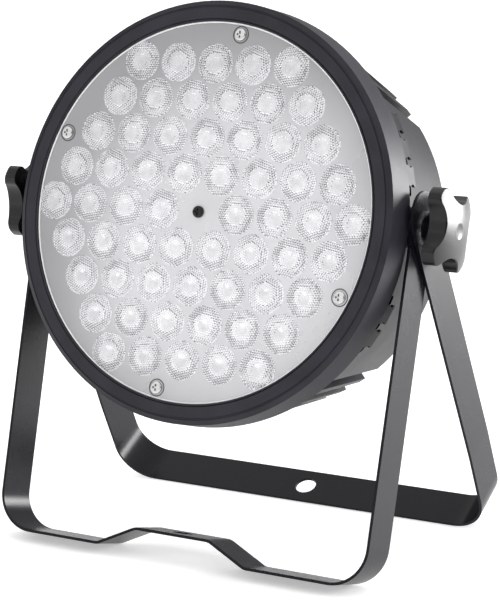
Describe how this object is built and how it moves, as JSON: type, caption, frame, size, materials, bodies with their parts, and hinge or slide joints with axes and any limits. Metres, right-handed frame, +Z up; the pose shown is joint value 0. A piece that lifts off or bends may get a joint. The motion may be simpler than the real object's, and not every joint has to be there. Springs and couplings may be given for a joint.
{
  "type": "par can light",
  "caption": "Round flat par can light with a hexagonal field of clear lenses, a ribbed rear housing and a folding double-yoke stand.",
  "frame": {"origin": "on the floor, in the middle of the footprint of the two yokes", "axes": "+X to the right of someone facing the lamp, along the pivot axis; +Y towards the lamp's back; +Z up from the floor the yokes stand on"},
  "size_m": [0.2754, 0.1664, 0.3004],
  "materials": {
    "yoke_paint": "satin black powder coat on steel strip",
    "fibre": "matt black fibre washer",
    "steel": "zinc-plated steel",
    "knob_plastic": "moulded black plastic, satin",
    "bezel_plastic": "moulded charcoal plastic with a fine grain",
    "housing_plastic": "moulded charcoal plastic with a fine grain",
    "plate_silver": "smooth silver-white plate",
    "lens_clear": "clear moulded optics with a pebbled face",
    "screw_chrome": "bright plated screw",
    "screw_black": "black oxide screw",
    "brass": "turned brass",
    "aluminium": "cast and machined aluminium",
    "board_white": "white solder mask on an aluminium-core board",
    "board_green": "green solder mask",
    "led_resin": "yellow phosphor under clear resin",
    "fan_plastic": "glass-filled black plastic",
    "guard_steel": "black powder-coated steel",
    "panel_paint": "matt black painted sheet",
    "display_acrylic": "dark red tinted acrylic",
    "key_plastic": "moulded dark grey key cap",
    "socket_plastic": "moulded black nylon",
    "transformer_tape": "yellow polyester tape",
    "capacitor_sleeve": "dark blue heat-shrink sleeve"
  },
  "bodies": {
    "front_yoke": {"front_bracket": "yoke_paint"},
    "rear_yoke": {"rear_bracket": "yoke_paint", "ear_washers": "fibre"},
    "head": {"front_bezel": "bezel_plastic", "lens_plate": "plate_silver", "lenses": "lens_clear", "plate_screws": "screw_chrome", "centre_screw": "screw_black", "plate_spacers": "brass", "led_board": "board_white", "leds": "led_resin", "heat_sink": "aluminium", "sink_posts": "aluminium", "rear_housing": "housing_plastic", "housing_screws": "screw_black", "threaded_inserts": "brass", "head_spacers": "fibre", "fan_frame": "fan_plastic", "fan_guard": "guard_steel", "fan_screws": "screw_black", "safety_eye": "guard_steel", "eye_screws": "screw_black", "control_panel": "panel_paint", "panel_screws": "screw_black", "display_window": "display_acrylic", "display_module": "fan_plastic", "control_board": "board_green", "board_standoffs": "brass", "tact_switches": "fan_plastic", "dmx_in_socket": "socket_plastic", "dmx_in_pins": "brass", "dmx_out_socket": "socket_plastic", "socket_screws": "screw_chrome", "power_inlet": "socket_plastic", "power_inlet_blades": "steel", "power_outlet": "socket_plastic", "fuse_holder": "socket_plastic", "supply_board": "board_green", "supply_spacers": "brass", "supply_transformer": "transformer_tape", "supply_capacitors": "capacitor_sleeve"},
    "left_hand_knob": {"left_knob": "knob_plastic", "left_stud": "steel", "left_knob_washer": "steel"},
    "right_hand_knob": {"right_knob": "knob_plastic", "right_stud": "steel", "right_knob_washer": "steel"},
    "fan": {"fan_rotor": "fan_plastic"},
    "fuse_drawer": {"fuse_cap": "socket_plastic"},
    "data_latch": {"dmx_out_latch": "steel"},
    "menu_key": {"button_menu": "key_plastic"},
    "down_key": {"button_down": "key_plastic"},
    "up_key": {"button_up": "key_plastic"},
    "enter_key": {"button_enter": "key_plastic"}
  },
  "joints": [
    {"name": "rear_yoke_fold", "type": "hinge", "parent": "front_yoke", "child": "rear_yoke", "pos_m": [0, -0.02086, 0.18573], "axis": [1, 0, 0], "range_deg": [-42.7, 137.3]},
    {"name": "head_tilt", "type": "hinge", "parent": "front_yoke", "child": "head", "pos_m": [0, -0.02086, 0.18573], "axis": [1, 0, 0], "range_deg": [-75, 75]},
    {"name": "left_knob_turn", "type": "hinge", "parent": "head", "child": "left_hand_knob", "pos_m": [0, -0.02086, 0.18573], "axis": [-1, 0, 0], "range_deg": [0, 360]},
    {"name": "right_knob_turn", "type": "hinge", "parent": "head", "child": "right_hand_knob", "pos_m": [0, -0.02086, 0.18573], "axis": [1, 0, 0], "range_deg": [0, 360]},
    {"name": "menu_press", "type": "slide", "parent": "head", "child": "menu_key", "axis": [0, -0.9711, 0.2385], "range_m": [0, 0.0008], "stiffness_N_per_m": 500},
    {"name": "down_press", "type": "slide", "parent": "head", "child": "down_key", "axis": [0, -0.9711, 0.2385], "range_m": [0, 0.0008], "stiffness_N_per_m": 500},
    {"name": "up_press", "type": "slide", "parent": "head", "child": "up_key", "axis": [0, -0.9711, 0.2385], "range_m": [0, 0.0008], "stiffness_N_per_m": 500},
    {"name": "enter_press", "type": "slide", "parent": "head", "child": "enter_key", "axis": [0, -0.9711, 0.2385], "range_m": [0, 0.0008], "stiffness_N_per_m": 500},
    {"name": "latch_press", "type": "slide", "parent": "head", "child": "data_latch", "axis": [0, -0.9711, 0.2385], "range_m": [0, 0.0015], "stiffness_N_per_m": 500},
    {"name": "fuse_cap_turn", "type": "hinge", "parent": "head", "child": "fuse_drawer", "pos_m": [0.052, 0.04337, 0.16254], "axis": [0, 0.9711, -0.2385], "range_deg": [0, 90]},
    {"name": "fan_spin", "type": "hinge", "parent": "head", "child": "fan", "pos_m": [0, 0.0441, 0.22002], "axis": [0, 0.9711, -0.2385], "continuous": true}
  ]
}
